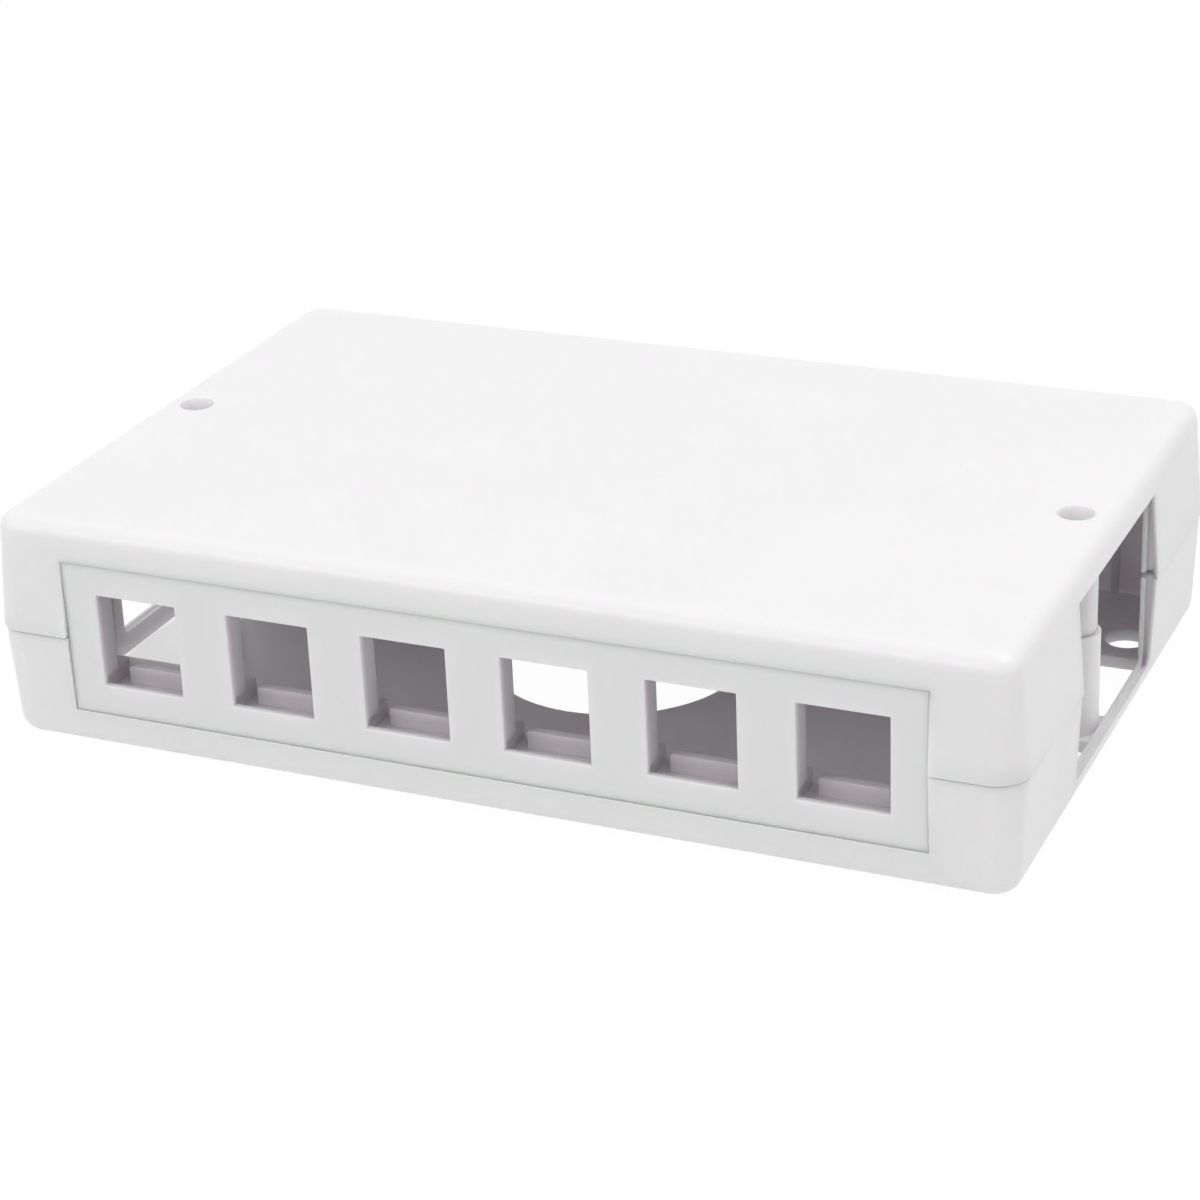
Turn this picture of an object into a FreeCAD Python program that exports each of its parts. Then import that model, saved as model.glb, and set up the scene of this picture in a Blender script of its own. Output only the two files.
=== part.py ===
import FreeCAD, Part

import math
import os

from FreeCAD import Vector

# Six-port surface mount jack box: a drafted two-part moulding, held shut by two screws, that traps a flush
# port plate with a row of keystone seats. Millimetres; +X along the ports, +Y to the back, +Z up.
# The origin is the bottom centre of the box. The ports and their plate set the box's length and height.

# Keystone ports
PORT_COUNT = 6
PORT_PITCH = 24.15
PORT_WIDTH = 14.7
PORT_HEIGHT = 16.1
PORT_EDGE_RADIUS = 0.3

# Port plate, seen in a window that both mouldings share
PLATE_END_MARGIN = 6.1      # beyond the end ports
PLATE_EDGE_MARGIN = 5.3     # above and below the ports
PLATE_SETBACK = 1.15        # behind the cover's face at the seam
PLATE_THICKNESS = 1.2
FLANGE_OVERLAP = 2.0        # hidden flange behind the window's edges
FLANGE_THICKNESS = 1.4
FLANGE_RIM = 1.8            # flange inside the window's edges

# Box outline, measured at the seam, which crosses the middle of the plate
WINDOW_TO_END = 14.075      # from the plate's window to each end of the box
WINDOW_TO_BOTTOM = 6.35
WINDOW_TO_TOP = 6.45
BOX_DEPTH = 113.3
CORNER_RADIUS = 5.4
COVER_DRAFT = 4.3           # degrees; the cover draws in towards the top
BASE_DRAFT = 2.6            # degrees; the base draws in towards the underside
TOP_EDGE_RADIUS = 3.0
BOTTOM_EDGE_RADIUS = 3.3

# Mouldings
WALL = 2.0
FLOOR = 2.1
ROOF = 2.1
SEAM_STEP = 0.27            # the cover's rim stands this far outside the base's rim
SEAM_GAP = 0.35             # shadow line between the two rims
LIP_THICKNESS = 0.85        # tongue on the base's rim, inside the cover
LIP_HEIGHT = 1.5            # above the seam; the cover rests on the tongue
FIT_CLEARANCE = 0.15        # between pieces that slip together
INNER_RADIUS_MIN = 0.4

# Keystone seat behind each port
WEB_THICKNESS = 1.0
WEB_DEPTH = 4.5             # web between the arms, from the plate's front face
SEAT_DEPTH = 8.7            # arms and shelves, from the plate's front face
ARM_SETBACK = 0.6           # the arms stand this far outside the webs
LOWER_ARM_RISE = 1.1        # lower arm's top above the port's lower edge
SLOT_DROP = 1.65            # room below and above the port for the jack's catches
SHELF_THICKNESS = 1.1
CATCH_WIDTH = 11.4
CATCH_THICKNESS = 1.8
CATCH_GAP = 5.0             # lower catch's face behind the plate's front face
CATCH_RISE = 1.45           # lower catch's top above the port's lower edge
CATCH_ROUND = 0.5

# Ribs that trap the plate's flange
RIB_THICKNESS = 1.2
RIB_WIDTH = 5.0
RIB_BUTTRESS = 4.0
RIB_HOLD = 3.6              # height of flange that a rib covers
CHANNEL_WIDTH = 4.0

# Ribs on the back wall
BACK_RIB_FROM_END = 15.0
BACK_RIB_DEPTH = 2.4

# Side cable entries
ENTRY_WIDTH = 45.6
ENTRY_SILL = 3.9            # above the underside
ENTRY_HEAD = 4.85           # below the top
ENTRY_CORNER_RADIUS = 1.5

# Groove for a blanking panel, round the jambs and sill of each side entry
GUIDE_RAIL = 0.75           # rail that backs the groove
GUIDE_SKIN = 0.55           # wall left outside the groove
GUIDE_DEPTH = 1.5           # in the jambs
GUIDE_SILL_DEPTH = 0.7
GUIDE_ROOT = 1.2            # where a rail joins the wall, beyond the groove
COVER_RAIL_RISE = 0.7       # the cover's rails begin this far above the seam

# Floor cut-outs
CABLE_HOLE_DIAMETER = 44.0
WINDOW_LENGTH = 14.4        # from the side wall's foot
WINDOW_INNER_Y = 4.9
WINDOW_OUTER_Y = 27.3
WINDOW_CORNER_RADIUS = 0.8
WALL_HOLE_DIAMETER = 7.5
WALL_HOLE_FROM_END = 8.1
WALL_HOLE_FROM_WINDOW = 7.6

# Screw bosses
SCREW_FROM_END = 8.1
BASE_BOSS_RADIUS = 4.4
COVER_BOSS_RADIUS = 3.8
COUNTERBORE_DIAMETER = 6.0
COUNTERBORE_DEPTH = 5.6
HEAD_TOWER_WALL = 1.5
SEAT_THICKNESS = 2.0        # plastic under the screw's head
BOSS_FLOOR = 1.5            # plastic below the pilot hole

# Cover screws
SCREW_DIAMETER = 2.9
SCREW_LENGTH = 22.0
SCREW_POINT = 1.8
HEAD_DIAMETER = 5.2
HEAD_HEIGHT = 2.0
HEAD_EDGE = 0.9             # straight side of the pan head
HEAD_CROWN_INSET = 0.9      # slope of the head's shoulder
RECESS_DEPTH = 1.2
RECESS_SPAN = 3.0
RECESS_WIDTH = 0.75
SHANK_CLEARANCE = 0.3
THREAD_CLEARANCE = 0.05

# Modelling allowances
CUT_MARGIN = 1.0            # how far a cutting solid runs past the wall it cuts
TOLERANCE = 1e-4

# Derived places
port_row = (PORT_COUNT - 1) * PORT_PITCH
port_centres = [i * PORT_PITCH - port_row / 2 for i in range(PORT_COUNT)]
window_half_x = port_row / 2 + PORT_WIDTH / 2 + PLATE_END_MARGIN
window_bottom_z = WINDOW_TO_BOTTOM
port_bottom_z = window_bottom_z + PLATE_EDGE_MARGIN
port_top_z = port_bottom_z + PORT_HEIGHT
window_top_z = port_top_z + PLATE_EDGE_MARGIN
box_length = 2 * (window_half_x + WINDOW_TO_END)
box_height = window_top_z + WINDOW_TO_TOP
seam_z = (window_bottom_z + window_top_z) / 2
rim_z = seam_z - SEAM_GAP
lip_top_z = seam_z + LIP_HEIGHT
roof_z = box_height - ROOF
front_y = -BOX_DEPTH / 2 + PLATE_SETBACK
panel_back_y = front_y + PLATE_THICKNESS
entry_top_z = box_height - ENTRY_HEAD
screw_x = box_length / 2 - SCREW_FROM_END
screw_seat_z = box_height - COUNTERBORE_DEPTH


def box(x0, x1, y0, y1, z0, z1):
    """Box between two corners."""
    return Part.makeBox(x1 - x0, y1 - y0, z1 - z0, Vector(x0, y0, z0))


def cylinder(radius, x, y, z0, z1):
    """Upright cylinder between two heights."""
    return Part.makeCylinder(radius, z1 - z0, Vector(x, y, z0))


def mirrored_x(shape):
    """The same shape on the other side of the box."""
    return shape.mirror(Vector(0, 0, 0), Vector(1, 0, 0))


def both_ends(shape):
    return [shape, mirrored_x(shape)]


def profile_solid(points, sweep):
    """Prism of a closed polygon."""
    corners = [Vector(*point) for point in points]
    face = Part.Face(Part.makePolygon(corners + corners[:1]))
    return face.extrude(Vector(*sweep))


def rounded_outline(half_x, half_y, radius, z):
    """Closed wire: a rectangle about the Z axis with round corners."""
    r = min(max(radius, INNER_RADIUS_MIN), half_x / 2, half_y / 2)
    mid = r * (1 - math.sqrt(0.5))
    edges = []
    signs = [(1, 1), (-1, 1), (-1, -1), (1, -1)]
    ends = []
    for sx, sy in signs:
        along_y = Vector(sx * half_x, sy * (half_y - r), z)
        along_x = Vector(sx * (half_x - r), sy * half_y, z)
        middle = Vector(sx * (half_x - mid), sy * (half_y - mid), z)
        first, last = (along_y, along_x) if sx * sy > 0 else (along_x, along_y)
        edges.append(Part.Arc(first, middle, last).toShape())
        ends.append((first, last))
    for i in range(4):
        start = ends[i][1]
        stop = ends[(i + 1) % 4][0]
        edges.append(Part.makeLine(start, stop))
    return Part.Wire(Part.__sortEdges__(edges))


def outline_at(inset, z):
    """The box's seam outline, drawn in by an inset, at height z."""
    return rounded_outline(box_length / 2 - inset, BOX_DEPTH / 2 - inset, CORNER_RADIUS - inset, z)


def cover_inset(z):
    """How far the cover's outer face has drawn in at height z."""
    return (z - seam_z) * math.tan(math.radians(COVER_DRAFT))


def base_inset(z):
    """How far the base's outer face has drawn in at height z."""
    return SEAM_STEP + (seam_z - z) * math.tan(math.radians(BASE_DRAFT))


wall_foot_x = box_length / 2 - base_inset(FLOOR) - WALL     # inner face of the side wall, at the floor


def drafted_block(inset_at, thickness, z0, z1):
    """Solid whose sides lie a wall's thickness inside a drafted face."""
    sections = [outline_at(inset_at(z) + thickness, z) for z in (z0, z1)]
    return Part.makeLoft(sections, True, True)


def straight_block(inset, z0, z1):
    """Solid with upright sides at one inset."""
    return Part.Face(outline_at(inset, z0)).extrude(Vector(0, 0, z1 - z0))


def edges_at_height(shape, z):
    """Edges that lie flat at one height."""
    return [e for e in shape.Edges if max(abs(e.BoundBox.ZMin - z), abs(e.BoundBox.ZMax - z)) < TOLERANCE]


def side_entry_cutter():
    """Cuts the right-hand cable entry through the wall; only its lower corners are round."""
    x0 = box_length / 2 - base_inset(ENTRY_SILL) - WALL - CUT_MARGIN
    x1 = box_length / 2 + CUT_MARGIN
    block = box(x0, x1, -ENTRY_WIDTH / 2, ENTRY_WIDTH / 2, ENTRY_SILL, entry_top_z)
    lower = [e for e in edges_at_height(block, ENTRY_SILL) if e.BoundBox.XLength > e.BoundBox.YLength]
    return block.makeFillet(ENTRY_CORNER_RADIUS, lower)


def guide_groove(inset_at, z0, z1):
    """Groove between the rails and the outer skin, round the right-hand cable entry."""
    half = ENTRY_WIDTH / 2 + GUIDE_DEPTH
    foot = ENTRY_SILL - GUIDE_SILL_DEPTH
    slot = box(wall_foot_x + GUIDE_RAIL, box_length / 2, -half, half, foot, entry_top_z)
    return slot.common(drafted_block(inset_at, GUIDE_SKIN, z0, z1))


def guide_rails(outer, z0, z1):
    """Upright rails that back the groove, each with a root on the side wall."""
    jamb = ENTRY_WIDTH / 2
    root = jamb + GUIDE_DEPTH
    rail = box(wall_foot_x, wall_foot_x + GUIDE_RAIL, jamb, root + GUIDE_ROOT, z0, z1)
    anchor = box(wall_foot_x, box_length / 2, root, root + GUIDE_ROOT, z0, z1)
    return four_corners(rail.fuse(anchor.common(outer)))


def plate_window_cutter():
    """Cuts the window that shows the port plate."""
    y1 = panel_back_y + WALL + CUT_MARGIN
    y0 = -BOX_DEPTH / 2 - CUT_MARGIN
    return box(-window_half_x, window_half_x, y0, y1, window_bottom_z, window_top_z)


def flange_front_y():
    """The plate's flange lies just behind the nearer of the two drafted walls."""
    low = window_bottom_z - FLANGE_OVERLAP
    high = window_top_z + FLANGE_OVERLAP
    inset = max(base_inset(low), cover_inset(high))
    return -BOX_DEPTH / 2 + inset + WALL + FIT_CLEARANCE


flange_back_y = flange_front_y() + FLANGE_THICKNESS
rib_front_y = flange_back_y + FIT_CLEARANCE
rib_back_y = rib_front_y + RIB_THICKNESS
flange_half_x = window_half_x + FLANGE_OVERLAP


def flange_ribs(z_root, z_tip):
    """Ribs between the seats, each with a buttress, that stop the flange from moving back."""
    ribs = []
    for i in range(PORT_COUNT - 1):
        x = (port_centres[i] + port_centres[i + 1]) / 2
        low, high = sorted((z_root, z_tip))
        ribs.append(box(x - RIB_WIDTH / 2, x + RIB_WIDTH / 2, rib_front_y, rib_back_y, low, high))
        buttress = [
            (x - RIB_THICKNESS / 2, rib_back_y, z_root),
            (x - RIB_THICKNESS / 2, rib_back_y + RIB_BUTTRESS, z_root),
            (x - RIB_THICKNESS / 2, rib_back_y, z_tip),
        ]
        ribs.append(profile_solid(buttress, (RIB_THICKNESS, 0, 0)))
    return ribs


def end_channels(outer, z0, z1):
    """L-shaped posts that grow from the front wall and hold the ends of the flange."""
    x0 = flange_half_x - CHANNEL_WIDTH / 2
    x1 = flange_half_x + FIT_CLEARANCE
    x2 = x1 + RIB_THICKNESS
    back = box(x0, x2, rib_front_y, rib_back_y, z0, z1)
    side = box(x1, x2, -BOX_DEPTH / 2, rib_back_y, z0, z1)
    return both_ends(back.fuse(side).common(outer))


def back_ribs(outer, z0, z1):
    """Upright ribs on the inside of the back wall."""
    x0 = box_length / 2 - BACK_RIB_FROM_END - RIB_THICKNESS / 2
    y0 = BOX_DEPTH / 2 - WALL - BACK_RIB_DEPTH
    rib = box(x0, x0 + RIB_THICKNESS, y0, BOX_DEPTH / 2, z0, z1)
    return both_ends(rib.common(outer))


def floor_window():
    """One of the four floor windows, at the right-hand back."""
    x0 = wall_foot_x - WINDOW_LENGTH
    block = box(x0, wall_foot_x, WINDOW_INNER_Y, WINDOW_OUTER_Y, -CUT_MARGIN, FLOOR + CUT_MARGIN)
    uprights = [e for e in block.Edges if e.BoundBox.ZLength > FLOOR]
    return block.makeFillet(WINDOW_CORNER_RADIUS, uprights)


def four_corners(shape):
    """A shape and its copies at the other three corners."""
    pair = both_ends(shape)
    return pair + [s.mirror(Vector(0, 0, 0), Vector(0, 1, 0)) for s in pair]


def make_base():
    """Lower moulding: drafted tray with the tongue, floor cut-outs, screw bosses, ribs and guides."""
    outer = drafted_block(base_inset, 0, 0, rim_z)
    outer = outer.makeFillet(BOTTOM_EDGE_RADIUS, edges_at_height(outer, 0))
    tongue_inset = base_inset(rim_z) + WALL - LIP_THICKNESS
    body = outer.fuse(straight_block(tongue_inset, rim_z - CUT_MARGIN, lip_top_z))
    body = body.cut(drafted_block(base_inset, WALL, FLOOR, lip_top_z + CUT_MARGIN))

    holes = [plate_window_cutter()]
    holes += both_ends(side_entry_cutter())
    holes += both_ends(guide_groove(base_inset, FLOOR, lip_top_z))
    holes += four_corners(tongue_notch())
    holes += four_corners(floor_window())
    holes.append(cylinder(CABLE_HOLE_DIAMETER / 2, 0, 0, -CUT_MARGIN, FLOOR + CUT_MARGIN))
    holes += four_corners(wall_hole())
    body = body.cut(holes)

    root_z = FLOOR - CUT_MARGIN
    flange_top = window_bottom_z - FLANGE_OVERLAP + RIB_HOLD
    added = flange_ribs(root_z, flange_top)
    added += end_channels(outer, root_z, rim_z)
    added += back_ribs(outer, root_z, rim_z)
    added += guide_rails(outer, root_z, rim_z)
    added += both_ends(cylinder(BASE_BOSS_RADIUS, screw_x, 0, root_z, rim_z))
    body = body.fuse(added)

    pilot_radius = SCREW_DIAMETER / 2 + THREAD_CLEARANCE
    body = body.cut(both_ends(cylinder(pilot_radius, screw_x, 0, BOSS_FLOOR, rim_z + CUT_MARGIN)))
    return body.removeSplitter()


def tongue_notch():
    """Ends the base's tongue beside the cover's right-hand back rail."""
    jamb = ENTRY_WIDTH / 2
    x0 = wall_foot_x - CUT_MARGIN
    y1 = jamb + GUIDE_DEPTH + GUIDE_ROOT + FIT_CLEARANCE
    return box(x0, box_length / 2, jamb - CUT_MARGIN, y1, rim_z, lip_top_z + CUT_MARGIN)


def wall_hole():
    """One of the four holes for wall screws, at the right-hand back."""
    x = box_length / 2 - WALL_HOLE_FROM_END
    y = WINDOW_OUTER_Y + WALL_HOLE_FROM_WINDOW
    return cylinder(WALL_HOLE_DIAMETER / 2, x, y, -CUT_MARGIN, FLOOR + CUT_MARGIN)


def make_cover():
    """Upper moulding: drafted lid with counterbored screw bosses, ribs and guides."""
    outer = drafted_block(cover_inset, 0, seam_z, box_height)
    outer = outer.makeFillet(TOP_EDGE_RADIUS, edges_at_height(outer, box_height))
    body = outer.cut(drafted_block(cover_inset, WALL, seam_z - CUT_MARGIN, roof_z))
    rebate_inset = base_inset(rim_z) + WALL - LIP_THICKNESS - FIT_CLEARANCE
    body = body.cut(straight_block(rebate_inset, seam_z - CUT_MARGIN, lip_top_z))
    holes = [plate_window_cutter()]
    holes += both_ends(side_entry_cutter())
    holes += both_ends(guide_groove(cover_inset, seam_z - CUT_MARGIN, roof_z))
    body = body.cut(holes)

    root_z = roof_z + CUT_MARGIN
    flange_bottom = window_top_z + FLANGE_OVERLAP - RIB_HOLD
    added = flange_ribs(root_z, flange_bottom)
    added += end_channels(outer, lip_top_z, root_z)
    added += back_ribs(outer, lip_top_z, root_z)
    added += guide_rails(outer, seam_z + COVER_RAIL_RISE, root_z)
    added += both_ends(cover_boss(root_z))
    body = body.fuse(added)

    shank_radius = SCREW_DIAMETER / 2 + SHANK_CLEARANCE
    bores = both_ends(cylinder(shank_radius, screw_x, 0, seam_z - CUT_MARGIN, screw_seat_z + CUT_MARGIN))
    bores += both_ends(cylinder(COUNTERBORE_DIAMETER / 2, screw_x, 0, screw_seat_z, box_height + CUT_MARGIN))
    return body.cut(bores).removeSplitter()


def cover_boss(root_z):
    """Right-hand boss: a post that widens round the screw's head."""
    post = cylinder(COVER_BOSS_RADIUS, screw_x, 0, seam_z, root_z)
    tower_radius = COUNTERBORE_DIAMETER / 2 + HEAD_TOWER_WALL
    tower = cylinder(tower_radius, screw_x, 0, screw_seat_z - SEAT_THICKNESS, root_z)
    return post.fuse(tower)


def side_pair(x, inner, y1, z0, z1):
    """Two upright walls behind the plate, at equal distances from a port's centre."""
    y0 = panel_back_y - PLATE_THICKNESS / 2
    left = box(x - inner - WEB_THICKNESS, x - inner, y0, y1, z0, z1)
    right = box(x + inner, x + inner + WEB_THICKNESS, y0, y1, z0, z1)
    return [left, right]


def keystone_seat(x):
    """Webs, set-back arms, shelves and catches behind one port."""
    half = PORT_WIDTH / 2
    arm = half + ARM_SETBACK
    y_root = panel_back_y - PLATE_THICKNESS / 2
    y_web = front_y + WEB_DEPTH
    y_arm = front_y + SEAT_DEPTH
    low = port_bottom_z - SLOT_DROP
    high = port_top_z + SLOT_DROP
    low_arm = port_bottom_z + LOWER_ARM_RISE
    pieces = side_pair(x, half, y_web, low_arm, port_top_z)
    pieces += side_pair(x, arm, y_arm, low - SHELF_THICKNESS, low_arm)
    pieces += side_pair(x, arm, y_arm, port_top_z, high + SHELF_THICKNESS)
    pieces.append(box(x - arm, x + arm, y_root, y_arm, low - SHELF_THICKNESS, low))
    pieces.append(box(x - arm, x + arm, y_root, y_arm, high, high + SHELF_THICKNESS))
    pieces.append(box(x - arm, x + arm, y_arm - CATCH_THICKNESS, y_arm, port_top_z, high + CATCH_ROUND))

    y_catch = front_y + CATCH_GAP
    catch_top = port_bottom_z + CATCH_RISE
    half_catch = CATCH_WIDTH / 2
    root = low - CATCH_ROUND
    lower_catch = box(x - half_catch, x + half_catch, y_catch, y_catch + CATCH_THICKNESS, root, catch_top)
    tips = [e for e in lower_catch.Edges if e.BoundBox.YLength > CATCH_ROUND and e.BoundBox.ZMin > low]
    pieces.append(lower_catch.makeFillet(CATCH_ROUND, tips))
    return pieces


def frame_ring(half_x, z0, z1, rim, y0, y1):
    """Rectangular ring about the ports, in the plane of the plate."""
    outer = box(-half_x, half_x, y0, y1, z0, z1)
    inner = box(-half_x + rim, half_x - rim, y0 - CUT_MARGIN, y1 + CUT_MARGIN, z0 + rim, z1 - rim)
    return outer.cut(inner)


def port_mouth_edges(plate, z0, z1):
    """Edges on the plate's front face, apart from its own outline."""
    edges = []
    for edge in plate.Edges:
        b = edge.BoundBox
        on_face = max(abs(b.YMin - front_y), abs(b.YMax - front_y)) < TOLERANCE
        if on_face and b.ZMin > z0 + TOLERANCE and b.ZMax < z1 - TOLERANCE:
            edges.append(edge)
    return edges


def make_port_plate():
    """Insert with the row of ports, their keystone seats and the flange that keeps it in the window."""
    half_x = window_half_x - FIT_CLEARANCE
    z0 = window_bottom_z + FIT_CLEARANCE
    z1 = window_top_z - FIT_CLEARANCE
    panel = box(-half_x, half_x, front_y, panel_back_y, z0, z1)

    flange_y = flange_front_y()
    rim_y = panel_back_y - PLATE_THICKNESS / 2
    rim = frame_ring(half_x, z0, z1, FLANGE_RIM, rim_y, flange_back_y)
    low = window_bottom_z - FLANGE_OVERLAP
    high = window_top_z + FLANGE_OVERLAP
    width = FLANGE_OVERLAP + FLANGE_RIM + FIT_CLEARANCE
    flange = frame_ring(flange_half_x, low, high, width, flange_y, flange_back_y)

    pieces = [rim, flange]
    for x in port_centres:
        pieces += keystone_seat(x)
    plate = panel.fuse(pieces)

    half_port = PORT_WIDTH / 2
    y0 = front_y - CUT_MARGIN
    y1 = panel_back_y
    ports = [box(x - half_port, x + half_port, y0, y1, port_bottom_z, port_top_z) for x in port_centres]
    plate = plate.cut(ports).removeSplitter()
    return plate.makeFillet(PORT_EDGE_RADIUS, port_mouth_edges(plate, z0, z1))


def make_screw():
    """Right-hand cover screw: pan head with a cross recess, seated in the counterbore."""
    head_r = HEAD_DIAMETER / 2
    shank_r = SCREW_DIAMETER / 2
    tip_z = screw_seat_z - SCREW_LENGTH
    edge_z = screw_seat_z + HEAD_EDGE
    top_z = screw_seat_z + HEAD_HEIGHT
    profile = [
        (0, 0, tip_z),
        (shank_r, 0, tip_z + SCREW_POINT),
        (shank_r, 0, screw_seat_z),
        (head_r, 0, screw_seat_z),
        (head_r, 0, edge_z),
        (head_r - HEAD_CROWN_INSET, 0, top_z),
        (0, 0, top_z),
    ]
    corners = [Vector(*point) for point in profile]
    face = Part.Face(Part.makePolygon(corners + corners[:1]))
    screw = face.revolve(Vector(0, 0, 0), Vector(0, 0, 1), 360)
    half_span = RECESS_SPAN / 2
    half_slot = RECESS_WIDTH / 2
    z0 = top_z - RECESS_DEPTH
    z1 = top_z + CUT_MARGIN
    recess = [
        box(-half_span, half_span, -half_slot, half_slot, z0, z1),
        box(-half_slot, half_slot, -half_span, half_span, z0, z1),
    ]
    screw = screw.cut(recess)
    screw.translate(Vector(screw_x, 0, 0))
    return screw


def main():
    screw = make_screw()
    nodes = {
        "base": make_base(),
        "cover": make_cover(),
        "port_plate": make_port_plate(),
        "cover_screw_right": screw,
        "cover_screw_left": mirrored_x(screw),
    }
    os.makedirs("parts", exist_ok=True)
    for name, shape in nodes.items():
        shape.exportStep("parts/" + name + ".step")
        bounds = shape.optimalBoundingBox(True, False)
        size = "%.2f x %.2f x %.2f mm" % (bounds.XLength, bounds.YLength, bounds.ZLength)
        print(name, size, "%.1f mm3" % shape.Volume, len(shape.Solids), "solid", shape.isValid())


main()
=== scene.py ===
import math

import bpy
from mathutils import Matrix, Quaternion, Vector


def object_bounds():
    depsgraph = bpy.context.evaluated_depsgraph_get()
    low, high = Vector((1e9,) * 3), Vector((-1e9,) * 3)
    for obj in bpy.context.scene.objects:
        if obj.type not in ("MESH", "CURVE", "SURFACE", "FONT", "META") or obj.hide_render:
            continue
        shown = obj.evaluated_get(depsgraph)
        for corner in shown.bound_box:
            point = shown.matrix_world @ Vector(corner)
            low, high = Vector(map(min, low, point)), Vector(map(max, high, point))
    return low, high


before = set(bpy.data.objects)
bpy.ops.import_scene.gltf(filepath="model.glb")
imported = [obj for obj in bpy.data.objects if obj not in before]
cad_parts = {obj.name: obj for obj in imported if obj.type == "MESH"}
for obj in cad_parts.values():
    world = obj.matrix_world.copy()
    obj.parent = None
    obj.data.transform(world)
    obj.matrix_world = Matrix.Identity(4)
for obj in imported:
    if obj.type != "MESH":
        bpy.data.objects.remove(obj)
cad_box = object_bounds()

# White six-port surface mount jack box on a white ground. Everything is in metres, in the frame of the packed
# part: +X along the ports, +Y to the back, +Z up. Angles are in degrees where they are named.

# Camera: it stands at two angles and a distance from the point that it looks at
CAMERA_AZIMUTH = 24.58
CAMERA_ELEVATION = 24.29
CAMERA_ROLL = -2.5
CAMERA_DISTANCE = 0.5341
CAMERA_TARGET = Vector((-0.00475, 0.0034, 0.01078))
CAMERA_LENS = 92.95         # millimetres
CAMERA_REACH = 20

# Light: a sky that brightens overhead, a square lamp above and a long strip in front
HORIZON_STRENGTH = 0.21
ZENITH_STRENGTH = 1.0
LAMP_PLACE = (0.5, 0.0, 1.2)
LAMP_SIZE = (0.8, 0.8)
LAMP_POWER = 4.8
STRIP_PLACE = (-0.42, -0.95, 0.6)
STRIP_SIZE = (1.0, 0.2)
STRIP_POWER = 2.5
LIT_POINT = (0, 0, 0)

# Floor
FLOOR_SIZE = 6.0
FLOOR_DROP = 0.00005        # below the part's feet
FLOOR_GLOW = 0.98           # share of the floor that a camera sees as plain white
FLOOR_LIGHT = 0.23          # share of the floor that glows on the part, as on a light table
FLOOR_ROUGHNESS = 0.9
SHADE_PLACE = (-0.0775, -0.016, 0)      # the floor is in the shade inside the left front window
SHADE_REACH = (0.0105, 0.018, 0.018)
SHADE_RIM = 0.3             # share of the reach over which the shade fades
SHADE_GLOW = 0.6            # share of plain white that is left there

# Colours
HOUSING_WHITE = (0.86, 0.851, 0.858, 1)
INSERT_WHITE = (0.85, 0.835, 0.852, 1)
ZINC = (0.72, 0.72, 0.74, 1)
FLOOR_WHITE = (0.86, 0.86, 0.86, 1)
WHITE = (1, 1, 1, 1)

# Moulded plastic. Scales are in features to the metre, heights in metres.
HOUSING_ROUGHNESS = 0.31
HOUSING_GRAIN = 0.000001
INSERT_ROUGHNESS = 0.36
INSERT_GRAIN = 0.0000016
GRAIN_SCALE = 1500
WAVE_HEIGHT = 0.00003
WAVE_SCALE = 60
MOTTLING_SCALE = 38
MOTTLING_DEPTH = 0.985      # colour of the darker mottles, as a share of the plastic's
MOTTLING_FROM = 0.35        # the ramp's ends, in the noise's own range
MOTTLING_TO = 0.65
GLOSS_SCALE = 140
GLOSS_BELOW = 0.03          # range of the roughness about its mean
GLOSS_ABOVE = 0.04
PLASTIC_IOR = 1.5

# Thin white plastic lets some light through, green a little less than red and blue
GLOW_DEPTH = 0.002
GLOW_TINT = (1.0, 0.84, 0.98)

# The thin walls behind the port plate's face pass light on; behind the face their colour is darkened and
# tinted mauve by depth, a painted shade that stands in for the shade in the seats' recesses
SEAT_PAINTED_SHADE = (0.87, 0.838, 0.862, 1)
SEAT_PAINTED_SHADE_FROM = 0.0003    # where the painted shade starts, behind the face
SEAT_PAINTED_SHADE_TO = 0.0015

# Zinc plating
SMUDGE_SCALE = 900
ZINC_ROUGHNESS = (0.22, 0.38)
MARK_SCALE = 6000
MARK_HEIGHT = 0.000003

# Middle of a noise texture's range, which the maps stretch
NOISE_LOW = 0.3
NOISE_HIGH = 0.7

# Edges
EDGE_RADIUS = 0.00005       # on every sharp moulded edge
SCREW_EDGE_RADIUS = EDGE_RADIUS / 2
EDGE_SEGMENTS = 2
EDGE_ANGLE = math.radians(35)
WELD_DISTANCE = 1e-6


def new_material(name):
    """Empty node material; returns it with its tree, its shader and a function that adds a node."""
    material = bpy.data.materials.new(name)
    material.use_nodes = True
    tree = material.node_tree
    shader = tree.nodes["Principled BSDF"]

    def add(kind, **settings):
        node = tree.nodes.new(kind)
        for key, value in settings.items():
            setattr(node, key, value)
        return node

    return material, tree, shader, add


def noise(tree, add, coordinates, scale, detail):
    """Noise texture of a given number of features to the metre."""
    node = add("ShaderNodeTexNoise")
    node.inputs["Scale"].default_value = scale
    node.inputs["Detail"].default_value = detail
    tree.links.new(coordinates.outputs["Object"], node.inputs["Vector"])
    return node.outputs["Fac"]


def stretched(tree, add, source, low, high):
    """Maps the middle of a noise texture's range to two values."""
    node = add("ShaderNodeMapRange")
    node.inputs["From Min"].default_value = NOISE_LOW
    node.inputs["From Max"].default_value = NOISE_HIGH
    node.inputs["To Min"].default_value = low
    node.inputs["To Max"].default_value = high
    tree.links.new(source, node.inputs["Value"])
    return node.outputs["Result"]


def bump(tree, add, source, height, under=None):
    """Bump of a given height, on top of another one."""
    node = add("ShaderNodeBump")
    node.inputs["Strength"].default_value = 1
    node.inputs["Distance"].default_value = height
    tree.links.new(source, node.inputs["Height"])
    if under:
        tree.links.new(under, node.inputs["Normal"])
    return node.outputs["Normal"]


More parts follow.
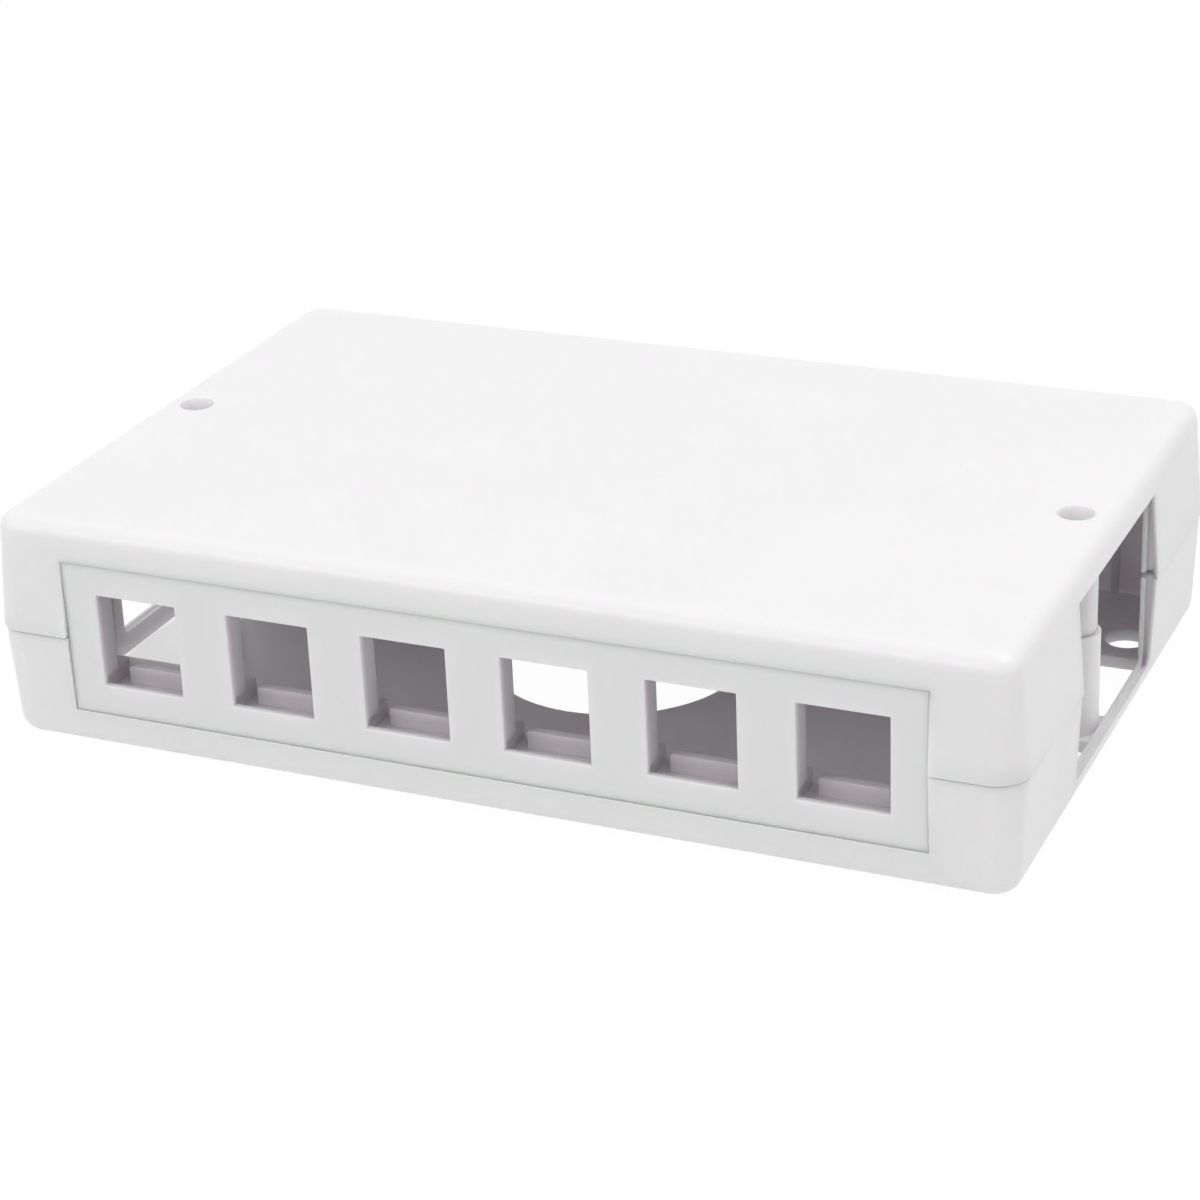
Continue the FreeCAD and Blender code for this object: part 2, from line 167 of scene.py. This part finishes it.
def painted_seat_shade(tree, add, coordinates, colour, face):
    """Painted shade: darkens a colour by depth behind a face that stands at a given Y, in place of the shade
    in the recesses there.
    """
    place = add("ShaderNodeSeparateXYZ")
    tree.links.new(coordinates.outputs["Object"], place.inputs["Vector"])
    depth = add("ShaderNodeMapRange")
    depth.inputs["From Min"].default_value = face + SEAT_PAINTED_SHADE_FROM
    depth.inputs["From Max"].default_value = face + SEAT_PAINTED_SHADE_TO
    tree.links.new(place.outputs["Y"], depth.inputs["Value"])
    shade = add("ShaderNodeValToRGB")
    shade.color_ramp.elements[0].color = WHITE
    shade.color_ramp.elements[1].color = SEAT_PAINTED_SHADE
    tree.links.new(depth.outputs["Result"], shade.inputs["Fac"])
    product = add("ShaderNodeVectorMath", operation="MULTIPLY")
    tree.links.new(colour, product.inputs[0])
    tree.links.new(shade.outputs["Color"], product.inputs[1])
    return product.outputs["Vector"]


def moulded_plastic(name, colour, roughness, grain, face=None):
    """White moulded plastic: faint mottling, uneven gloss, slow waves and a fine satin grain, and painted
    shade behind a given face.
    """
    material, tree, shader, add = new_material(name)
    coordinates = add("ShaderNodeTexCoord")

    shade = add("ShaderNodeValToRGB")
    darker, lighter = shade.color_ramp.elements
    darker.position = MOTTLING_FROM
    lighter.position = MOTTLING_TO
    darker.color = [c * MOTTLING_DEPTH for c in colour[:3]] + [1]
    lighter.color = colour
    tree.links.new(noise(tree, add, coordinates, MOTTLING_SCALE, 3), shade.inputs["Fac"])
    base_colour = shade.outputs["Color"]
    # painted shade: the colour is darkened behind the face, where the seats' recesses are in shade
    if face is not None:
        base_colour = painted_seat_shade(tree, add, coordinates, base_colour, face)
    tree.links.new(base_colour, shader.inputs["Base Color"])

    gloss = noise(tree, add, coordinates, GLOSS_SCALE, 3)
    uneven = stretched(tree, add, gloss, roughness - GLOSS_BELOW, roughness + GLOSS_ABOVE)
    tree.links.new(uneven, shader.inputs["Roughness"])

    waves = bump(tree, add, noise(tree, add, coordinates, WAVE_SCALE, 1), WAVE_HEIGHT)
    satin = bump(tree, add, noise(tree, add, coordinates, GRAIN_SCALE, 2), grain, waves)
    tree.links.new(satin, shader.inputs["Normal"])

    shader.inputs["IOR"].default_value = PLASTIC_IOR
    shader.inputs["Subsurface Weight"].default_value = 1
    shader.inputs["Subsurface Radius"].default_value = GLOW_TINT
    shader.inputs["Subsurface Scale"].default_value = GLOW_DEPTH
    return material


def plated_steel(name, colour):
    """Bright zinc plating with smudges and fine marks."""
    material, tree, shader, add = new_material(name)
    coordinates = add("ShaderNodeTexCoord")
    shader.inputs["Base Color"].default_value = colour
    shader.inputs["Metallic"].default_value = 1
    smudges = noise(tree, add, coordinates, SMUDGE_SCALE, 3)
    tree.links.new(stretched(tree, add, smudges, *ZINC_ROUGHNESS), shader.inputs["Roughness"])
    marks = noise(tree, add, coordinates, MARK_SCALE, 2)
    tree.links.new(bump(tree, add, marks, MARK_HEIGHT), shader.inputs["Normal"])
    return material


def dress(node, material, edge_radius):
    """Gives a CAD node its finish, and a small radius on its sharp edges."""
    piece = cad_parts[node]
    piece.data.materials.clear()
    piece.data.materials.append(material)
    weld = piece.modifiers.new("weld", "WELD")
    weld.merge_threshold = WELD_DISTANCE
    edge = piece.modifiers.new("edge", "BEVEL")
    edge.width = edge_radius
    edge.segments = EDGE_SEGMENTS
    edge.limit_method = "ANGLE"
    edge.angle_limit = EDGE_ANGLE
    edge.use_clamp_overlap = True
    edge.harden_normals = True


def add_lamp(name, place, size, power):
    """Rectangular lamp that faces the middle of the part."""
    light = bpy.data.lights.new(name, "AREA")
    light.shape = "RECTANGLE"
    light.size, light.size_y = size
    light.energy = power
    lamp = bpy.data.objects.new(name, light)
    lamp.location = place
    lamp.rotation_euler = (Vector(LIT_POINT) - Vector(place)).to_track_quat("-Z", "Y").to_euler()
    bpy.context.scene.collection.objects.link(lamp)


def direct_ray(tree):
    """1 for rays from a camera, off a gloss or through glass, and 0 for those that gather light."""
    path = tree.nodes.new("ShaderNodeLightPath")
    factor = path.outputs["Is Camera Ray"]
    for kind in ("Is Glossy Ray", "Is Transmission Ray"):
        either = tree.nodes.new("ShaderNodeMath")
        either.operation = "MAXIMUM"
        tree.links.new(factor, either.inputs[0])
        tree.links.new(path.outputs[kind], either.inputs[1])
        factor = either.outputs["Value"]
    return factor


def floor_shade(tree, add):
    """Share of plain white in the floor's look: less in the shade inside the left front floor window."""
    coordinates = add("ShaderNodeTexCoord")
    place = add("ShaderNodeMapping", vector_type="TEXTURE")
    place.inputs["Location"].default_value = SHADE_PLACE
    place.inputs["Scale"].default_value = SHADE_REACH
    tree.links.new(coordinates.outputs["Object"], place.inputs["Vector"])
    ball = add("ShaderNodeTexGradient", gradient_type="SPHERICAL")
    tree.links.new(place.outputs["Vector"], ball.inputs["Vector"])
    share = add("ShaderNodeMapRange")
    share.inputs["From Max"].default_value = SHADE_RIM
    share.inputs["To Min"].default_value = FLOOR_GLOW
    share.inputs["To Max"].default_value = SHADE_GLOW
    tree.links.new(ball.outputs["Fac"], share.inputs["Value"])
    return share.outputs["Result"]


def add_floor():
    """Pale floor just under the part: white to a camera, with the part's soft shadow."""
    mesh = bpy.data.meshes.new("floor")
    half = FLOOR_SIZE / 2
    corners = [(-half, -half, 0), (half, -half, 0), (half, half, 0), (-half, half, 0)]
    mesh.from_pydata(corners, [], [(0, 1, 2, 3)])
    floor = bpy.data.objects.new("floor", mesh)
    floor.location.z = cad_box[0][2] - FLOOR_DROP
    bpy.context.scene.collection.objects.link(floor)

    material, tree, shader, add = new_material("floor")
    shader.inputs["Base Color"].default_value = FLOOR_WHITE
    shader.inputs["Roughness"].default_value = FLOOR_ROUGHNESS
    shader.inputs["Specular IOR Level"].default_value = 0
    glow = add("ShaderNodeEmission")
    share = add("ShaderNodeMapRange")
    share.inputs["To Min"].default_value = FLOOR_LIGHT
    tree.links.new(direct_ray(tree), share.inputs["Value"])
    tree.links.new(floor_shade(tree, add), share.inputs["To Max"])
    mix = add("ShaderNodeMixShader")
    tree.links.new(share.outputs["Result"], mix.inputs["Fac"])
    tree.links.new(shader.outputs["BSDF"], mix.inputs[1])
    tree.links.new(glow.outputs["Emission"], mix.inputs[2])
    tree.links.new(mix.outputs["Shader"], tree.nodes["Material Output"].inputs["Surface"])
    mesh.materials.append(material)


def set_world():
    """White surroundings: full white to the camera, and a sky for the part that is brighter overhead."""
    world = bpy.data.worlds.new("surroundings")
    bpy.context.scene.world = world
    world.use_nodes = True
    tree = world.node_tree
    background = tree.nodes["Background"]
    background.inputs["Color"].default_value = WHITE
    coordinates = tree.nodes.new("ShaderNodeTexCoord")
    height = tree.nodes.new("ShaderNodeSeparateXYZ")
    tree.links.new(coordinates.outputs["Generated"], height.inputs["Vector"])
    sky = tree.nodes.new("ShaderNodeMapRange")
    sky.inputs["To Min"].default_value = HORIZON_STRENGTH
    sky.inputs["To Max"].default_value = ZENITH_STRENGTH
    tree.links.new(height.outputs["Z"], sky.inputs["Value"])
    strength = tree.nodes.new("ShaderNodeMapRange")
    strength.inputs["To Max"].default_value = 1
    tree.links.new(sky.outputs["Result"], strength.inputs["To Min"])
    tree.links.new(direct_ray(tree), strength.inputs["Value"])
    tree.links.new(strength.outputs["Result"], background.inputs["Strength"])


def add_camera():
    """Camera on a sphere round its target, turned a little about its own axis."""
    azimuth, elevation, roll = (math.radians(a) for a in (CAMERA_AZIMUTH, CAMERA_ELEVATION, CAMERA_ROLL))
    away = Vector((math.sin(azimuth) * math.cos(elevation),
                   -math.cos(azimuth) * math.cos(elevation),
                   math.sin(elevation)))
    data = bpy.data.cameras.new("camera")
    data.lens = CAMERA_LENS
    data.clip_end = CAMERA_REACH
    camera = bpy.data.objects.new("camera", data)
    camera.location = CAMERA_TARGET + away * CAMERA_DISTANCE
    camera.rotation_mode = "QUATERNION"
    camera.rotation_quaternion = (-away).to_track_quat("-Z", "Y") @ Quaternion((0, 0, 1), roll)
    bpy.context.scene.collection.objects.link(camera)
    bpy.context.scene.camera = camera


plate_face = min(corner[1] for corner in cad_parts["port_plate"].bound_box)
housing = moulded_plastic("housing_plastic", HOUSING_WHITE, HOUSING_ROUGHNESS, HOUSING_GRAIN)
# the port plate's plastic carries painted shade behind its face
insert = moulded_plastic("insert_plastic", INSERT_WHITE, INSERT_ROUGHNESS, INSERT_GRAIN, plate_face)
zinc = plated_steel("zinc_plate", ZINC)
for moulding in ("base", "cover"):
    dress(moulding, housing, EDGE_RADIUS)
dress("port_plate", insert, EDGE_RADIUS)
for screw in ("cover_screw_left", "cover_screw_right"):
    dress(screw, zinc, SCREW_EDGE_RADIUS)

set_world()
add_floor()
add_lamp("top_light", LAMP_PLACE, LAMP_SIZE, LAMP_POWER)
add_lamp("front_strip", STRIP_PLACE, STRIP_SIZE, STRIP_POWER)
add_camera()
bpy.context.scene.view_settings.view_transform = "Standard"
